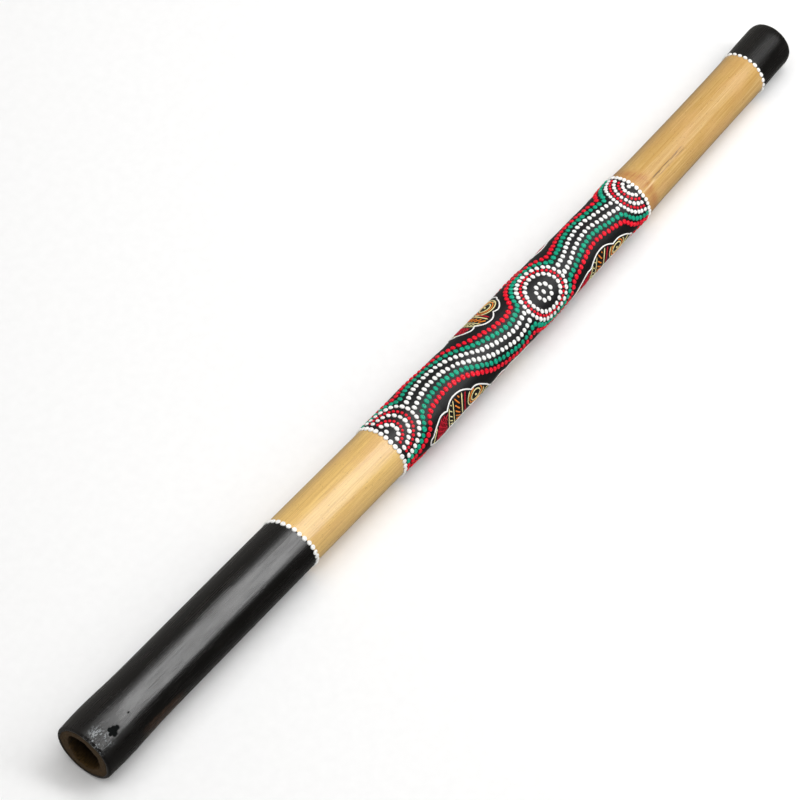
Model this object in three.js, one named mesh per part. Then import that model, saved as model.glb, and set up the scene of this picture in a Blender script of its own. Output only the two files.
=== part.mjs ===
// Didgeridoo: a long painted wind instrument made from one bamboo culm.
//
// Millimetres, +Z up. The instrument lies on its side on a flat surface at z = 0, with its bell
// towards -X and its mouth end towards +X. The origin is on that surface, under the middle of the
// instrument's box. Along the culm, "station" is the distance from the bell's face. Round the culm,
// "arc" is measured at the radius PAINT_SCALE from the front line of the painted design, and grows
// towards -Y.
import * as THREE from 'three';

// ---- The culm ----------------------------------------------------------------------------------
const LENGTH = 1200;
const SIDES = 32; // flats round the culm, one of them straight down

// How the outer edge is rounded off at each end: its length along the culm and its depth.
const BELL_ROUNDING = { length: 2, depth: 2 };
const MOUTH_ROUNDING = { length: 10, depth: 3.5 };

// The culm's taper between its nodes, as [station, outer radius].
const TAPER = [[0, 33.1], [105, 32.8], [290, 32.4], [460, 31.7], [690, 31.0], [860, 29.2],
  [990, 27.8], [1120, 26.9], [LENGTH, 26.7]];

// The swellings of the bamboo at its nodes, and at the flared mouth end.
const NODES = [
  { station: 31, height: 1.7, spread: 38 },
  { station: 536, height: 1.6, spread: 28 },
  { station: 910, height: 0.8, spread: 20 },
  { station: 1196, height: 0.9, spread: 70 },
];

// The natural bow of the culm, largest past the middle.
const BOW_SIDEWAYS = -9.05;
const BOW_UPWARDS = 4.3;
const BOW_SKEW = 1.5;
const SIDE_SHIFT = 3.6; // centres the box across Y

// The air bore, as [station, radius], and the rims left where the inner walls were knocked out.
const BORE = [[0, 21.0], [12, 21.6], [300, 22.4], [700, 22.4], [1000, 20.6], [LENGTH, 20.2]];
const WALL_REMNANTS = [{ station: 31, height: 1.6 }, { station: 536, height: 3.6 },
  { station: 910, height: 3.4 }];
const REMNANT_HALF_WIDTH = 5;

// The culm in three lengths, one from each node with a wall to the next, as [name, from, to].
const LENGTH_GAP = 0.15;
const LENGTHS = [
  ['bell', 0, 536 - LENGTH_GAP],
  ['middle', 536 + LENGTH_GAP, 910 - LENGTH_GAP],
  ['mouth', 910 + LENGTH_GAP, LENGTH],
];

// ---- Coats of lacquer and rings of dots ----------------------------------------------------------
const COAT_GAP = 0.3;
const COAT_THICKNESS = 0.3;
const COAT_SETBACK = 1; // from each end face
const RING_WIDTH = 5.4;
const RING_HEIGHT = 1.7;
const BELL_RING = 324.5;
const BAND_LOWER_RING = 473;
const BAND_UPPER_RING = 910;
const MOUTH_RING = 1141;
const COAT_EDGE = RING_WIDTH / 2 + COAT_GAP; // a coat stops this far from its ring's middle

// ---- The mouthpiece of beeswax -------------------------------------------------------------------
const WAX_BORE = 14.5;
const WAX_DEPTH = 34;
const WAX_LIP = 2.5;
const WAX_LIP_RADIUS = 23.5;
const WAX_LIP_EDGE = 1; // bevel at the lip's outer edge
const WAX_FLARE = { depth: 2, widening: 2 }; // of the hole towards the player
const WAX_TAIL = { length: 8, thinning: 1.5 }; // where the wax thins out inside the bore

// ---- The painted band ----------------------------------------------------------------------------
const PAINT_SCALE = 32; // the radius that arcs round the culm are measured at
const FRONT_TURN = THREE.MathUtils.degToRad(24.6); // of the front line from straight up, towards -Y
const PAINT_BASE = 1.3; // clear of the ground coat
const PAINT_STEP = 10.5; // the longest step along a line of paint
const OUTLINE_STEP = 6; // the same along a figure's outline
const FEWEST_STEPS = 6; // along even the shortest line
const PITCH_OVER_SIZE = 0.9; // a row of dots is a little narrower than its dots
const BIG_DOT = { width: 5.6 * PITCH_OVER_SIZE, height: 1.1 };
const SMALL_DOT = { width: 3.2 * PITCH_OVER_SIZE, height: 0.8 };
const OUTLINE = { width: 1.8, height: 0.7 };

// The line that the streams of dots follow, as [station, arc].
const STREAM = [[475, -9], [516, -12], [540, -18.5], [567, -20.5], [592, -15], [612, -4], [632, 6],
  [671, 15], [701, 8.5], [732, 3.5], [759, 1], [781, -3.5], [803, -12], [826, -16], [852, -11.5],
  [876, -6.5], [909, -7]];
const STREAM_START = 478.5;
const STREAM_END = 905.5;
const CORNER_EASING = 3; // rounds the corners where a row leaves a stream for a circle

// The centres that circles and half rings are drawn round, and how wide across the culm these are
// for their length along it.
const LOWER_EYE = { station: 475.5, arc: -9, stretch: 0.84 };
const MEDALLION = { station: 732.5, arc: 3.5, stretch: 1 };
const UPPER_EYE = { station: 909, arc: -7, stretch: 1.1 };

// Rows: distance from the stream's line, and the radius round each centre.
const WHITE_ROW = { offset: 5.2, medallion: 31, lower: 40.5, upper: 29.5 };
const GREEN_ROW = { offset: 13.7, medallion: 37, lower: 47, upper: 36.5 };
const RED_ROW = { offset: 22, medallion: 43, lower: 54.5, upper: 43 };

const LOWER_ARCS = [{ radius: 14, red: false }, { radius: 19.5, red: true }, { radius: 27.5, red: false },
  { radius: 33, red: true }, { radius: WHITE_ROW.lower, red: false }];
const UPPER_ARCS = [{ radius: 11, red: false }, { radius: 15.5, red: true }, { radius: 20.5, red: false },
  { radius: 25, red: true }, { radius: WHITE_ROW.upper, red: false }];
const MEDALLION_RINGS = [
  { name: 'centre', radius: 9.5, red: false }, { name: 'inner_white', radius: 22, red: false },
  { name: 'red', radius: 26.5, red: true }, { name: 'outer_white', radius: WHITE_ROW.medallion, red: false },
];
const ARC_END_GAP = 5.5; // between a half ring's ends and the ring that borders the band

// The painted design is on the front and again on the back, where the medallion has an empty middle.
const FACES = [
  { name: 'front', turn: 0, rings: MEDALLION_RINGS },
  { name: 'back', turn: Math.PI, rings: MEDALLION_RINGS.slice(1) },
];

// Lobed figures lie in the channels between the two faces.
const FIGURES = [
  { station: 568, halfLength: 53, halfWidth: 17.5 },
  { station: 661, halfLength: 36, halfWidth: 19.5 },
  { station: 822, halfLength: 55, halfWidth: 17 },
];
const FIGURE_FULLNESS = 0.8; // 1 for an oval, less for blunter ends
const FIGURE_LOBES = { count: 8, corners: 8, depth: 0.3, sharpness: 1.5 };

// ---- Materials -----------------------------------------------------------------------------------
const finish = (color, roughness) => new THREE.MeshStandardMaterial({ color, roughness, metalness: 0 });
const bambooFinish = () => finish(0xe1b978, 0.35);
const blackLacquer = () => finish(0x141210, 0.3);
const groundLacquer = () => finish(0x1e1e20, 0.5);
const whitePaint = () => finish(0xf6f6f2, 0.45);
const greenPaint = () => finish(0x0a8f70, 0.4);
const redPaint = () => finish(0xe01432, 0.4);
const waxFinish = () => finish(0x6b4a1e, 0.5);

// ---- Where things are on the culm ----------------------------------------------------------------

const SAMPLES_PER_POINT = 24;

// A smooth curve through [x, y] points, read as a function of x.
function smoothThrough(points) {
  const curve = new THREE.CatmullRomCurve3(points.map(([x, y]) => new THREE.Vector3(x, y, 0)));
  curve.curveType = 'catmullrom';
  const samples = curve.getPoints(points.length * SAMPLES_PER_POINT);
  return (x) => {
    const after = Math.max(1, samples.findIndex((sample) => sample.x >= x));
    const [a, b] = x >= samples.at(-1).x ? samples.slice(-2) : [samples[after - 1], samples[after]];
    return THREE.MathUtils.mapLinear(x, a.x, b.x, a.y, b.y);
  };
}

const taperRadius = smoothThrough(TAPER);
const streamArc = smoothThrough(STREAM);
const boreTaper = smoothThrough(BORE);

function swelling(station, node) {
  return node.height * Math.exp(-(((station - node.station) / node.spread) ** 2));
}

function culmRadius(station) {
  return NODES.reduce((radius, node) => radius + swelling(station, node), taperRadius(station));
}

function bow(station) {
  const along = THREE.MathUtils.clamp(station / LENGTH, 0, 1);
  return Math.sin(Math.PI * along ** BOW_SKEW);
}

// The culm rests on its black coats, at the bell's swelling and at the mouth end's edge.
function restingHeight(station) {
  return (culmRadius(station) + COAT_GAP + COAT_THICKNESS) * Math.cos(Math.PI / SIDES)
    - BOW_UPWARDS * bow(station);
}

function axisHeight(station) {
  const [bell, mouth] = [NODES[0].station, LENGTH - MOUTH_ROUNDING.length];
  const straight = THREE.MathUtils.mapLinear(station, bell, mouth, restingHeight(bell), restingHeight(mouth));
  return straight + BOW_UPWARDS * bow(station);
}

function axisOffset(station) {
  return SIDE_SHIFT + BOW_SIDEWAYS * bow(station);
}

// The point at a station, an angle from straight up towards -Y, and a radius.
function placeOnCulm(station, angle, radius) {
  return new THREE.Vector3(
    station - LENGTH / 2,
    axisOffset(station) - radius * Math.sin(angle),
    axisHeight(station) + radius * Math.cos(angle),
  );
}

// ---- Round pieces: profiles of [radius, station] turned about the axis, then bowed ----------------

function turnedGeometry(profile) {
  const loop = [...profile, profile[0]].map(([radius, station]) => new THREE.Vector2(radius, station));
  const geometry = new THREE.LatheGeometry(loop, SIDES, Math.PI / SIDES);
  const position = geometry.getAttribute('position');
  for (let i = 0; i < position.count; i += 1) {
    const [x, station, z] = [position.getX(i), position.getY(i), position.getZ(i)];
    const point = placeOnCulm(station, Math.atan2(x, z), Math.hypot(x, z));
    position.setXYZ(i, point.x, point.y, point.z);
  }
  return geometry;
}

// The stations where the culm's outside has a ring of corners: close together at the swellings, in
// steps of each one's spread, and at every coat's edge, and never more than LONGEST_GAP apart.
const LONGEST_GAP = 84;
const SHORTEST_GAP = 0.5;
const SWELLING_STEPS = [-1.3, -0.55, 0, 0.55, 1.3];
const ROUNDING_STEPS = [0, 0.1, 0.4, 1];
const RING_STATIONS = [BELL_RING, BAND_LOWER_RING, BAND_UPPER_RING, MOUTH_RING];

function outerStations() {
  const wanted = [COAT_SETBACK, LENGTH - COAT_SETBACK];
  ROUNDING_STEPS.forEach((step) => (
    wanted.push(step * BELL_ROUNDING.length, LENGTH - step * MOUTH_ROUNDING.length)));
  NODES.forEach(({ station, spread }) => (
    SWELLING_STEPS.forEach((step) => wanted.push(station + step * spread))));
  RING_STATIONS.forEach((ring) => wanted.push(ring - COAT_EDGE, ring + COAT_EDGE));
  const inside = wanted.filter((station) => station >= 0 && station <= LENGTH).sort((a, b) => a - b);
  const spaced = inside.filter((station, i) => i === 0 || station - inside[i - 1] > SHORTEST_GAP);
  return spaced.flatMap((station, i) => {
    const gap = i === 0 ? 0 : station - spaced[i - 1];
    const parts = Math.max(1, Math.ceil(gap / LONGEST_GAP));
    return Array.from({ length: parts }, (_, part) => station - (gap * (parts - 1 - part)) / parts);
  });
}

const STATIONS = outerStations();

function roundedOff(fromEnd, rounding) {
  const share = Math.max(1 - fromEnd / rounding.length, 0);
  return rounding.depth * (1 - Math.sqrt(1 - share ** 2));
}

// The culm's outer radius, drawn in at both ends where the edge is rounded.
function outsideRadius(station) {
  return culmRadius(station) - roundedOff(station, BELL_ROUNDING)
    - roundedOff(LENGTH - station, MOUTH_ROUNDING);
}

function outsideProfile(from, to, offset) {
  const between = STATIONS.filter((station) => station > from && station < to);
  return [from, ...between, to].map((station) => [outsideRadius(station) + offset, station]);
}

function boreRadius(station) {
  return WALL_REMNANTS.reduce((radius, remnant) => {
    const share = 1 - Math.abs(station - remnant.station) / REMNANT_HALF_WIDTH;
    return radius - remnant.height * Math.max(share, 0);
  }, boreTaper(station));
}

function boreProfile(from, to) {
  const corners = WALL_REMNANTS.flatMap(({ station }) => (
    [station - REMNANT_HALF_WIDTH, station, station + REMNANT_HALF_WIDTH]));
  const between = [...BORE.map(([station]) => station), ...corners]
    .filter((station) => station > from && station < to).sort((a, b) => b - a);
  return [to, ...between, from].map((station) => [boreRadius(station), station]);
}

function culmGeometry(from, to) {
  return turnedGeometry([...outsideProfile(from, to, 0), ...boreProfile(from, to)]);
}

function coatGeometry(from, to) {
  const outside = outsideProfile(from, to, COAT_GAP + COAT_THICKNESS);
  const inside = outsideProfile(from, to, COAT_GAP).reverse();
  return turnedGeometry([...outside, ...inside]);
}

function dotRingGeometry(station) {
  const [low, high] = [station - RING_WIDTH / 2, station + RING_WIDTH / 2];
  const foot = culmRadius(station) + COAT_GAP;
  return turnedGeometry([[foot + COAT_GAP, low], [foot + RING_HEIGHT, station], [foot + COAT_GAP, high],
    [foot, high], [foot, low]]);
}

function waxGeometry() {
  const skin = boreTaper(LENGTH) - COAT_GAP;
  const lip = LENGTH + COAT_GAP;
  const [tail, top] = [LENGTH - WAX_DEPTH, LENGTH + WAX_LIP];
  return turnedGeometry([[skin, tail], [skin, lip], [WAX_LIP_RADIUS, lip],
    [WAX_LIP_RADIUS - WAX_LIP_EDGE, top], [WAX_BORE + WAX_FLARE.widening, top],
    [WAX_BORE, LENGTH - WAX_FLARE.depth], [WAX_BORE, tail + WAX_TAIL.length],
    [skin - WAX_TAIL.thinning, tail]]);
}

// ---- Lines of paint: ridges that follow a path on the culm ----------------------------------------

// A path is a list of Vector2 (arc, station). It is resampled so that no step is over longestStep.
function evenlySpaced(path, closed, longestStep) {
  const curve = new THREE.CatmullRomCurve3(path.map((p) => new THREE.Vector3(p.x, p.y, 0)), closed);
  const steps = Math.max(FEWEST_STEPS, Math.ceil(curve.getLength() / longestStep));
  const points = curve.getSpacedPoints(steps);
  return closed ? points.slice(0, -1) : points;
}

function paintPoint(arc, station, turn, height) {
  const angle = FRONT_TURN + turn + arc / PAINT_SCALE;
  return placeOnCulm(station, angle, culmRadius(station) + PAINT_BASE + height);
}

// Each step has three corners: left foot, crown and right foot.
function ridgeGeometry(path, closed, turn, { width, height }, longestStep = PAINT_STEP) {
  const points = evenlySpaced(path, closed, longestStep);
  const count = points.length;
  const corners = points.flatMap((point, i) => {
    const before = points[closed ? (i + count - 1) % count : Math.max(i - 1, 0)];
    const after = points[closed ? (i + 1) % count : Math.min(i + 1, count - 1)];
    const along = after.clone().sub(before).normalize().multiplyScalar(width / 2);
    return [paintPoint(point.x - along.y, point.y + along.x, turn, 0),
      paintPoint(point.x, point.y, turn, height),
      paintPoint(point.x + along.y, point.y - along.x, turn, 0)];
  });
  const faces = [];
  for (let i = 0; i < (closed ? count : count - 1); i += 1) {
    const [here, next] = [i * 3, ((i + 1) % count) * 3];
    for (let side = 0; side < 3; side += 1) {
      const [a, b, c, d] = [here + side, here + (side + 1) % 3, next + (side + 1) % 3, next + side];
      faces.push(a, b, c, a, c, d);
    }
  }
  if (!closed) {
    const last = (count - 1) * 3;
    faces.push(0, 2, 1, last, last + 1, last + 2);
  }
  const geometry = new THREE.BufferGeometry().setFromPoints(corners);
  geometry.setIndex(faces);
  return geometry;
}

// ---- The painted design's paths --------------------------------------------------------------------

// The half width of a circle at a station, which falls below zero outside it.
function halfChord(station, centre, radius) {
  const away = Math.abs(station - centre);
  return away < radius ? Math.sqrt(radius ** 2 - away ** 2) : radius - away;
}

function easedMax(a, b) {
  return (a + b + Math.hypot(a - b, CORNER_EASING)) / 2;
}

// How far a row lies to one side of the front line: side is 1 or -1.
function rowArc(row, side, station) {
  const rims = [[LOWER_EYE, row.lower], [MEDALLION, row.medallion], [UPPER_EYE, row.upper]];
  return side * rims.reduce(
    (furthest, [centre, radius]) => easedMax(
      furthest,
      side * centre.arc + centre.stretch * halfChord(station, centre.station, radius),
    ),
    side * streamArc(station) + row.offset,
  );
}

const ROW_STEP = 2;

function rowPath(row, side, from, to) {
  const steps = Math.ceil((to - from) / ROW_STEP);
  return Array.from({ length: steps + 1 }, (_, i) => {
    const station = from + ((to - from) * i) / steps;
    return new THREE.Vector2(rowArc(row, side, station), station);
  });
}

// The point of a circle or half ring at an angle from straight across the culm.
function circlePoint(centre, radius, angle) {
  return new THREE.Vector2(
    centre.arc + centre.stretch * radius * Math.cos(angle),
    centre.station + radius * Math.sin(angle),
  );
}

const CIRCLE_CORNERS = 24;

function circlePath(centre, radius) {
  return Array.from({ length: CIRCLE_CORNERS }, (_, i) => circlePoint(
    centre,
    radius,
    (Math.PI * 2 * i) / CIRCLE_CORNERS,
  ));
}

const HALF_RING_STEPS = 16;

// Half a ring on the side that direction points to, 1 towards the mouth and -1 towards the bell.
function halfRingPath(centre, radius, direction) {
  const start = Math.asin(ARC_END_GAP / radius);
  return Array.from({ length: HALF_RING_STEPS + 1 }, (_, i) => {
    const angle = start + ((Math.PI - 2 * start) * i) / HALF_RING_STEPS;
    return circlePoint(centre, radius, direction * angle);
  });
}

// A closed outline, lobed along its sides, that bends with the channel it lies in.
function figurePath({ station, halfLength, halfWidth }) {
  const corners = FIGURE_LOBES.count * FIGURE_LOBES.corners;
  return Array.from({ length: corners }, (_, i) => {
    const angle = (Math.PI * 2 * i) / corners;
    const sine = Math.sin(angle);
    const notch = 1 - Math.abs(Math.cos((FIGURE_LOBES.count * angle) / 2));
    const lobe = 1 - FIGURE_LOBES.depth * notch ** FIGURE_LOBES.sharpness;
    const along = station + halfLength * Math.cos(angle);
    const across = halfWidth * Math.sign(sine) * Math.abs(sine) ** FIGURE_FULLNESS * lobe;
    return new THREE.Vector2(streamArc(along) + (Math.PI / 2) * PAINT_SCALE + across, along);
  });
}

// ---- Assembly --------------------------------------------------------------------------------------

const didgeridoo = new THREE.Group();

function addPiece(name, geometry, material) {
  const mesh = new THREE.Mesh(geometry, material);
  mesh.name = name;
  didgeridoo.add(mesh);
}

const SIDE_NAMES = [['left', -1], ['right', 1]];

function addRows(face) {
  SIDE_NAMES.forEach(([sideName, side]) => {
    const addRow = (name, row, from, to, material) => addPiece(
      `${face.name}_${name}_${sideName}`,
      ridgeGeometry(rowPath(row, side, from, to), false, face.turn, BIG_DOT),
      material,
    );
    addRow('green_row', GREEN_ROW, STREAM_START, STREAM_END, greenPaint());
    addRow('red_row', RED_ROW, STREAM_START, STREAM_END, redPaint());
    const plain = { ...WHITE_ROW, lower: 0, medallion: 0, upper: 0 };
    const clear = WHITE_ROW.medallion + ARC_END_GAP;
    addRow('lower_white_row', plain, LOWER_EYE.station + WHITE_ROW.lower + ARC_END_GAP,
      MEDALLION.station - clear, whitePaint());
    addRow('upper_white_row', plain, MEDALLION.station + clear,
      UPPER_EYE.station - WHITE_ROW.upper - ARC_END_GAP, whitePaint());
  });
}

function addHalfRings(face) {
  [['lower', LOWER_EYE, LOWER_ARCS, 1], ['upper', UPPER_EYE, UPPER_ARCS, -1]].forEach(
    ([name, eye, arcs, direction]) => arcs.forEach(({ radius, red }, i) => addPiece(
      `${face.name}_${name}_arc_${i + 1}`,
      ridgeGeometry(halfRingPath(eye, radius, direction), false, face.turn, red ? SMALL_DOT : BIG_DOT),
      red ? redPaint() : whitePaint(),
    )),
  );
}

function addMedallion(face) {
  face.rings.forEach(({ name, radius, red }) => addPiece(
    `${face.name}_medallion_${name}_ring`,
    ridgeGeometry(circlePath(MEDALLION, radius), true, face.turn, red ? SMALL_DOT : BIG_DOT),
    red ? redPaint() : whitePaint(),
  ));
}

function addFigures(face) {
  FIGURES.forEach((figure, i) => addPiece(
    `${face.name}_side_figure_${i + 1}`,
    ridgeGeometry(figurePath(figure), true, face.turn, OUTLINE, OUTLINE_STEP),
    whitePaint(),
  ));
}

LENGTHS.forEach(([name, from, to]) => (
  addPiece(`${name}_culm_length`, culmGeometry(from, to), bambooFinish())));
addPiece('wax_mouthpiece', waxGeometry(), waxFinish());
addPiece('bell_black_coat', coatGeometry(COAT_SETBACK, BELL_RING - COAT_EDGE), blackLacquer());
addPiece('mouth_black_coat', coatGeometry(MOUTH_RING + COAT_EDGE, LENGTH - COAT_SETBACK), blackLacquer());
addPiece('band_ground_coat', coatGeometry(BAND_LOWER_RING + COAT_EDGE, BAND_UPPER_RING - COAT_EDGE),
  groundLacquer());
addPiece('bell_dot_ring', dotRingGeometry(BELL_RING), whitePaint());
addPiece('band_lower_dot_ring', dotRingGeometry(BAND_LOWER_RING), whitePaint());
addPiece('band_upper_dot_ring', dotRingGeometry(BAND_UPPER_RING), whitePaint());
addPiece('mouth_dot_ring', dotRingGeometry(MOUTH_RING), whitePaint());
FACES.forEach((face) => [addRows, addHalfRings, addMedallion, addFigures].forEach((add) => add(face)));

export default didgeridoo;
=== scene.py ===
import math

import bpy
import numpy as np
from mathutils import Matrix, Vector


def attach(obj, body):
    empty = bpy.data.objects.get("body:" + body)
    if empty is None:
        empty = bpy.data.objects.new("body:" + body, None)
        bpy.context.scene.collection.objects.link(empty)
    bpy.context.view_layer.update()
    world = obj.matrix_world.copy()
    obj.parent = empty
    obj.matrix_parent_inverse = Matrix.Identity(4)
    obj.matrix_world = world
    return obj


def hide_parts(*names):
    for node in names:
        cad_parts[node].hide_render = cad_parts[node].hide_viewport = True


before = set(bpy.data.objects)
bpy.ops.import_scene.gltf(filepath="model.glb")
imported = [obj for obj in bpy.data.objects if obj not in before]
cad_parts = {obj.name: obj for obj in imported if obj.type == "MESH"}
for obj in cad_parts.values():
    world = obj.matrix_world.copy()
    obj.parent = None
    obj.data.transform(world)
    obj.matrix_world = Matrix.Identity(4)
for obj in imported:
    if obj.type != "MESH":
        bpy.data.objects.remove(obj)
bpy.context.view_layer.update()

MM = 0.001
rng = np.random.default_rng(7)

# ---- The culm's dimensions, as the CAD states them ----
LENGTH = 1200
BELL_ROUNDING, MOUTH_ROUNDING = (2, 2), (10, 3.5)  # length along the culm, depth
TAPER = [(0, 33.1), (105, 32.8), (290, 32.4), (460, 31.7), (690, 31.0), (860, 29.2),
         (990, 27.8), (1120, 26.9), (LENGTH, 26.7)]
NODES = [(31, 1.7, 38), (536, 1.6, 28), (910, 0.8, 20), (1196, 0.9, 70)]  # station, height, spread
BORE = [(0, 21.2), (12, 21.9), (300, 22.4), (700, 22.4), (1000, 20.6), (LENGTH, 20.2)]
WALL_REMNANTS = [(31, 1.6), (536, 3.6), (910, 3.4)]  # station, height
BOW_SIDEWAYS, BOW_UPWARDS, BOW_SKEW = -9.05, 4.3, 1.5
SIDE_SHIFT = 3.6
CAD_SIDES = 32
CAD_COAT = 0.6  # the height of the CAD coats' outside over the culm

CULM_NODES = ["bell_culm_length", "middle_culm_length", "mouth_culm_length"]

BELL_RING, BAND_LOWER_RING, BAND_UPPER_RING, MOUTH_RING = 324.5, 473, 910, 1141

# ---- The painted design, as the CAD states it ----
PAINT_SCALE = 32
FRONT_TURN = math.radians(24.6)
STREAM = [(475, -9), (516, -12), (540, -18.5), (567, -20.5), (592, -15), (612, -4), (632, 6),
          (671, 15), (701, 8.5), (732, 3.5), (759, 1), (781, -3.5), (803, -12), (826, -16), (852, -11.5),
          (876, -6.5), (909, -7)]
STREAM_START, STREAM_END = 478.5, 905.5
CORNER_EASING = 3
# The centres of circles and half rings, as (station, arc, stretch round the culm).
LOWER_EYE, MEDALLION, UPPER_EYE = (475.5, -9, 0.84), (732.5, 3.5, 1), (909, -7, 1.1)
WHITE_ROW = {"offset": 5.2, "medallion": 31, "lower": 40.5, "upper": 29.5}
GREEN_ROW = {"offset": 13.7, "medallion": 37, "lower": 47, "upper": 36.5}
RED_ROW = {"offset": 22, "medallion": 43, "lower": 54.5, "upper": 43}
LOWER_ARCS = [(14, "white"), (19.5, "red"), (27.5, "white"), (33, "red"), (40.5, "white")]
UPPER_ARCS = [(11, "white"), (15.5, "red"), (20.5, "white"), (25, "red"), (29.5, "white")]
MEDALLION_RINGS = [("centre", 9.5, "white"), ("inner_white", 22, "white"), ("red", 26.5, "red"),
                   ("outer_white", 31, "white")]
ARC_END_GAP = 5.5
FACES = [("front", 0.0, MEDALLION_RINGS), ("back", math.pi, MEDALLION_RINGS[1:])]  # name, turn, rings
FIGURES = [(568, 53, 17.5), (661, 36, 19.5), (822, 55, 17)]  # station, half length, half width
FIGURE_FULLNESS = 0.8
FIGURE_LOBES, LOBE_DEPTH, LOBE_SHARPNESS = 8, 0.3, 1.5

# ---- Coats and dots ----
COAT_THICKNESS = 0.45
DOT_PITCH = 6.4
SMALL_PITCH = 4.7
BIG_DOT = {"size": 5.8, "height": 1.25, "pitch": DOT_PITCH, "stretch": 0.80}
COLOURED_DOT = {"size": 6.2, "height": 1.25, "pitch": DOT_PITCH, "stretch": 0.84}
SMALL_DOT = {"size": 3.5, "height": 0.95, "pitch": SMALL_PITCH}
RING_DOT = {"size": 5.7, "height": 1.4, "pitch": 6.7}
NARROW_RING_DOT = {"size": 5.2, "height": 1.3, "pitch": 5.4}
DENSE_DOT = {"size": 5.1, "height": 1.2, "pitch": 5.4, "stretch": 0.86}
FLAT_RING_DOT = {"size": 6.4, "height": 1.3, "pitch": 6.8, "stretch": 0.66}

# ---- The camera and the light ----
CAMERA_AZIMUTH, CAMERA_ELEVATION = math.radians(-52.2), math.radians(53.3)
CAMERA_AIM = Vector((-0.0508, 0.0313, 0.0185))
CAMERA_DISTANCE = 4.4
CAMERA_LENS = 186.4
FLOOR_SIZE = 14
# The way from the culm to the softbox, and the way that the softbox is wide.
SOFTBOX_DIRECTION, SOFTBOX_ACROSS = (0.462, -0.370, 0.806), (0, 0.909, 0.417)
SOFTBOX_AIM = Vector((-0.15, 0, 0.035))
FILL_PLACE, FILL_SIZE, FILL_POWER = (-1.25, -0.15, 3.2), (5.0, 4.0), 98
# The room's light, from the -Y side to the +Y side.
ROOM_SIDES, ROOM_STRENGTHS, ROOM_COLOUR = (-0.9, 0.9), (0.05, 0.24), (1.0, 0.97, 0.92, 1)


# ---- Where things are on the culm ----

CURVE_STEPS = 24


def smooth_through(points):
    """A Catmull-Rom curve through (x, y) points, read as a function of x."""
    inner = np.array(points, float)
    ends = 2 * inner[[0, -1]] - inner[[1, -2]]
    p = np.vstack([ends[:1], inner, ends[1:]])
    t = np.linspace(0, 1, CURVE_STEPS, endpoint=False)[:, None]
    pieces = []
    for a, b, c, d in zip(p, p[1:], p[2:], p[3:]):
        start, end = (c - a) / 2, (d - b) / 2
        pieces.append(b + start * t + (3 * (c - b) - 2 * start - end) * t ** 2
                      + (2 * (b - c) + start + end) * t ** 3)
    curve = np.vstack(pieces + [inner[-1:]])
    return lambda x: np.interp(x, curve[:, 0], curve[:, 1])


taper_radius = smooth_through(TAPER)
stream_arc = smooth_through(STREAM)
bore_taper = smooth_through(BORE)


def round_turn(count):
    """Angles evenly spaced round a full turn."""
    return np.arange(count) * 2 * math.pi / count


def reach_along(path):
    """How far along a path each of its points lies."""
    return np.append(0, np.cumsum(np.hypot(*np.diff(path, axis=0).T)))


def bump_at(x, centre, spread):
    """A bell-shaped bump of height 1."""
    return np.exp(-((x - centre) / spread) ** 2)


def waves(angle, terms):
    """A sum of waves round the culm, each (height, number of waves, turn)."""
    return sum(height * np.sin(number * angle + turn) for height, number, turn in terms)


def smooth_step(x, low, high):
    t = np.clip((x - low) / (high - low), 0, 1)
    return t * t * (3 - 2 * t)


def culm_radius(station):
    swellings = sum(height * bump_at(station, at, spread) for at, height, spread in NODES)
    return taper_radius(station) + swellings


def bow(station):
    return np.sin(np.pi * np.clip(station / LENGTH, 0, 1) ** BOW_SKEW)


def resting_height(station):
    return (culm_radius(station) + CAD_COAT) * math.cos(math.pi / CAD_SIDES) - BOW_UPWARDS * bow(station)


def axis_height(station):
    bell, mouth = NODES[0][0], LENGTH - MOUTH_ROUNDING[0]
    along = (station - bell) / (mouth - bell)
    straight = resting_height(bell) * (1 - along) + resting_height(mouth) * along
    return straight + BOW_UPWARDS * bow(station)


def place(station, angle, radius):
    """Points in metres from arrays of stations, angles and radii."""
    x = station - LENGTH / 2
    y = SIDE_SHIFT + BOW_SIDEWAYS * bow(station) - radius * np.sin(angle)
    z = axis_height(station) + radius * np.cos(angle)
    return np.stack(np.broadcast_arrays(x, y, z), -1) * MM


def straightened(station, angle, radius):
    """The same points on a culm with no bow, in millimetres: what the grain follows."""
    return np.stack(np.broadcast_arrays(station, -radius * np.sin(angle), radius * np.cos(angle)), -1)


def arc_of(angle, turn=0.0):
    """The arc from the front line, between minus and plus half way round."""
    return (np.mod(angle - FRONT_TURN - turn + math.pi, 2 * math.pi) - math.pi) * PAINT_SCALE


# ---- The culm's surface ----

SCAR = 919  # the sheath scar over the upper node
SCAR_PEAK = 9  # how far the scar rises below the branch
SCAR_PEAK_ARC, SCAR_PEAK_SPREAD = -2, 17
SCAR_SAG = 2.5
MIDDLE_SCAR, MIDDLE_SCAR_SWAY = 538, 1.5
# Relief by a scar, as (distance past it, height, spread).
UPPER_SCAR_RELIEF = [(3, 0.08, 4.0), (0, -0.05, 1.6)]
MIDDLE_SCAR_RELIEF = [(3, 0.22, 2.5), (0, -0.2, 1.2)]
BRANCH_ARC = 6
GROOVE_START, GROOVE_FULL, GROOVE_FADE, GROOVE_END = SCAR - 4, SCAR + 8, 950, 997
GROOVE_DEPTH, GROOVE_SPREAD = 0.45, 2.4
GROOVE_SWAY, GROOVE_SWAY_LENGTH = 0.8, 13  # the length is for each radian
MOUTH_LEAN_START, MOUTH_LEAN_END = MOUTH_RING - 16, MOUTH_RING + 39
MOUTH_LEAN_TURN = math.radians(65)
MOUTH_LEAN, MOUTH_SLIMMING = 1.1, 0.4
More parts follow.
